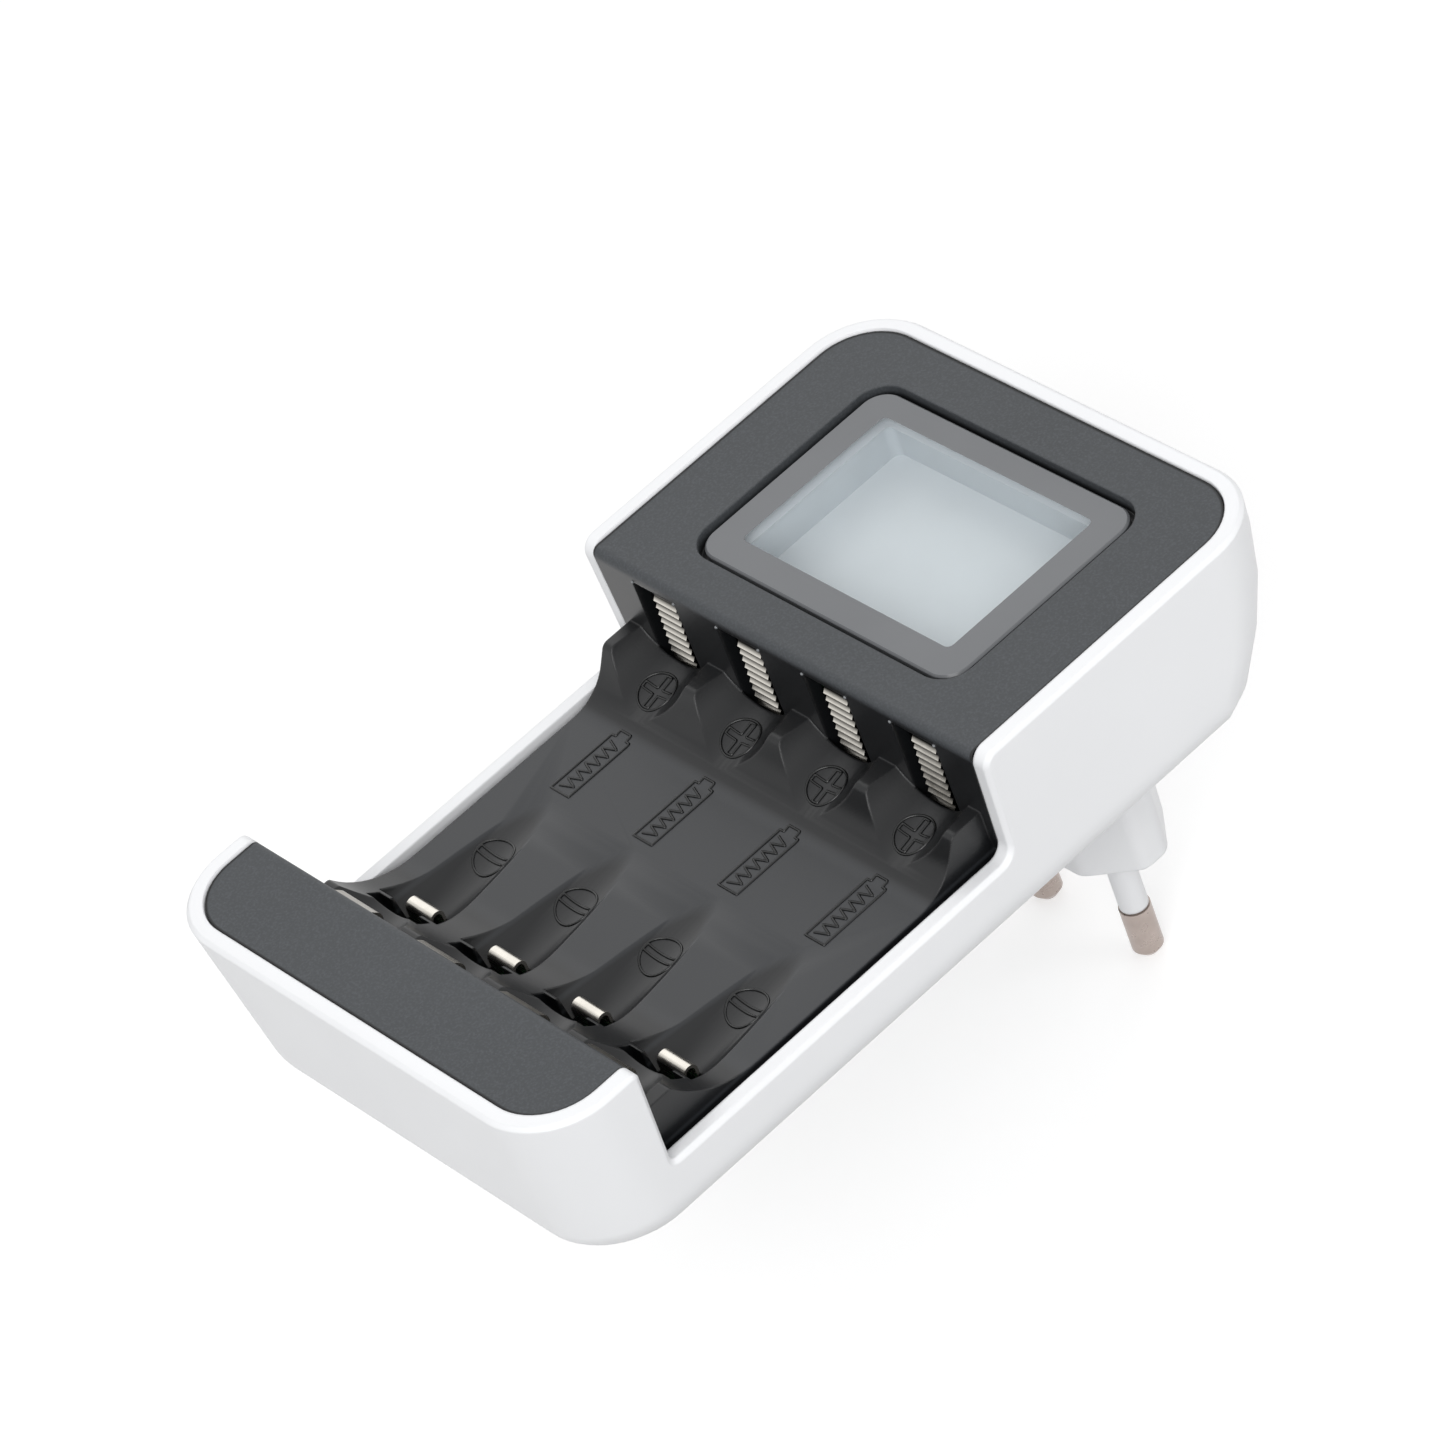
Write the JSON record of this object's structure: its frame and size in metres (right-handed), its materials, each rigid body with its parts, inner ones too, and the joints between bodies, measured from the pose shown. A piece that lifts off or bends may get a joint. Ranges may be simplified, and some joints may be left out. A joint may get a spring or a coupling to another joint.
{
  "type": "aa battery charger",
  "caption": "Plug-in charger for round cells, with a display in the raised head, a four-channel tray with sprung contacts and a two-pin mains plug at the back.",
  "frame": {"origin": "centre of the flat face of the plug, between the two pins", "axes": "+X to the right across the cells, +Y from the toe to the display head, +Z out of the display; the pins point along -Z"},
  "size_m": [0.0704, 0.1155, 0.0698],
  "materials": {
    "black_resin": "moulded",
    "capacitor_can": "sleeved can",
    "circuit_board": "lacquered",
    "clear_window": "clear with printed border",
    "coil_tape": "wound",
    "dark_plastic": "fine grain",
    "display_glass": "smooth",
    "ferrite": "sintered",
    "film_case": "moulded",
    "light_plastic": "smooth",
    "nickel_pin": "nickel plated",
    "nickel_spring": "nickel plated",
    "plated_steel": "zinc plated",
    "rubber": "matte",
    "white_plastic": "satin, fine"
  },
  "bodies": {
    "housing": {"board_header": "black_resin", "board_screws": "plated_steel", "case_screws": "plated_steel", "charger_board": "circuit_board", "control_board": "circuit_board", "control_chip": "black_resin", "display_lens": "clear_window", "front_cover": "dark_plastic", "lcd_connector": "rubber", "lcd_glass": "display_glass", "lcd_holder": "light_plastic", "light_guide": "light_plastic", "mains_capacitor": "capacitor_can", "output_capacitors": "capacitor_can", "pin_lead_left": "nickel_spring", "pin_lead_right": "nickel_spring", "pin_sleeve_left": "white_plastic", "pin_sleeve_right": "white_plastic", "plug_insert": "white_plastic", "plug_pin_left": "nickel_pin", "plug_pin_right": "nickel_pin", "plus_contact_1": "nickel_spring", "plus_contact_2": "nickel_spring", "plus_contact_3": "nickel_spring", "plus_contact_4": "nickel_spring", "rear_shell": "white_plastic", "rectifier_diodes": "black_resin", "suppression_capacitor": "film_case", "switching_controller": "black_resin", "transformer_coil": "coil_tape", "transformer_core": "ferrite"},
    "large_cell_spring_1_body": {"large_cell_spring_1": "nickel_spring"},
    "large_cell_spring_2_body": {"large_cell_spring_2": "nickel_spring"},
    "large_cell_spring_3_body": {"large_cell_spring_3": "nickel_spring"},
    "large_cell_spring_4_body": {"large_cell_spring_4": "nickel_spring"},
    "small_cell_spring_1_body": {"small_cell_spring_1": "nickel_spring"},
    "small_cell_spring_2_body": {"small_cell_spring_2": "nickel_spring"},
    "small_cell_spring_3_body": {"small_cell_spring_3": "nickel_spring"},
    "small_cell_spring_4_body": {"small_cell_spring_4": "nickel_spring"}
  },
  "joints": [
    {"name": "large_cell_press_1", "type": "hinge", "parent": "housing", "child": "large_cell_spring_1_body", "pos_m": [-0.0225, -0.083, 0.029], "axis": [1, 0, 0], "range_deg": [0, 7], "stiffness_Nm_per_rad": 0.29},
    {"name": "large_cell_press_2", "type": "hinge", "parent": "housing", "child": "large_cell_spring_2_body", "pos_m": [-0.0075, -0.083, 0.029], "axis": [1, 0, 0], "range_deg": [0, 7], "stiffness_Nm_per_rad": 0.29},
    {"name": "large_cell_press_3", "type": "hinge", "parent": "housing", "child": "large_cell_spring_3_body", "pos_m": [0.0075, -0.083, 0.029], "axis": [1, 0, 0], "range_deg": [0, 7], "stiffness_Nm_per_rad": 0.29},
    {"name": "large_cell_press_4", "type": "hinge", "parent": "housing", "child": "large_cell_spring_4_body", "pos_m": [0.0225, -0.083, 0.029], "axis": [1, 0, 0], "range_deg": [0, 7], "stiffness_Nm_per_rad": 0.29},
    {"name": "small_cell_press_1", "type": "hinge", "parent": "housing", "child": "small_cell_spring_1_body", "pos_m": [-0.0225, -0.0707, 0.029], "axis": [1, 0, 0], "range_deg": [0, 13], "stiffness_Nm_per_rad": 0.045},
    {"name": "small_cell_press_2", "type": "hinge", "parent": "housing", "child": "small_cell_spring_2_body", "pos_m": [-0.0075, -0.0707, 0.029], "axis": [1, 0, 0], "range_deg": [0, 13], "stiffness_Nm_per_rad": 0.045},
    {"name": "small_cell_press_3", "type": "hinge", "parent": "housing", "child": "small_cell_spring_3_body", "pos_m": [0.0075, -0.0707, 0.029], "axis": [1, 0, 0], "range_deg": [0, 13], "stiffness_Nm_per_rad": 0.045},
    {"name": "small_cell_press_4", "type": "hinge", "parent": "housing", "child": "small_cell_spring_4_body", "pos_m": [0.0225, -0.0707, 0.029], "axis": [1, 0, 0], "range_deg": [0, 13], "stiffness_Nm_per_rad": 0.045}
  ]
}
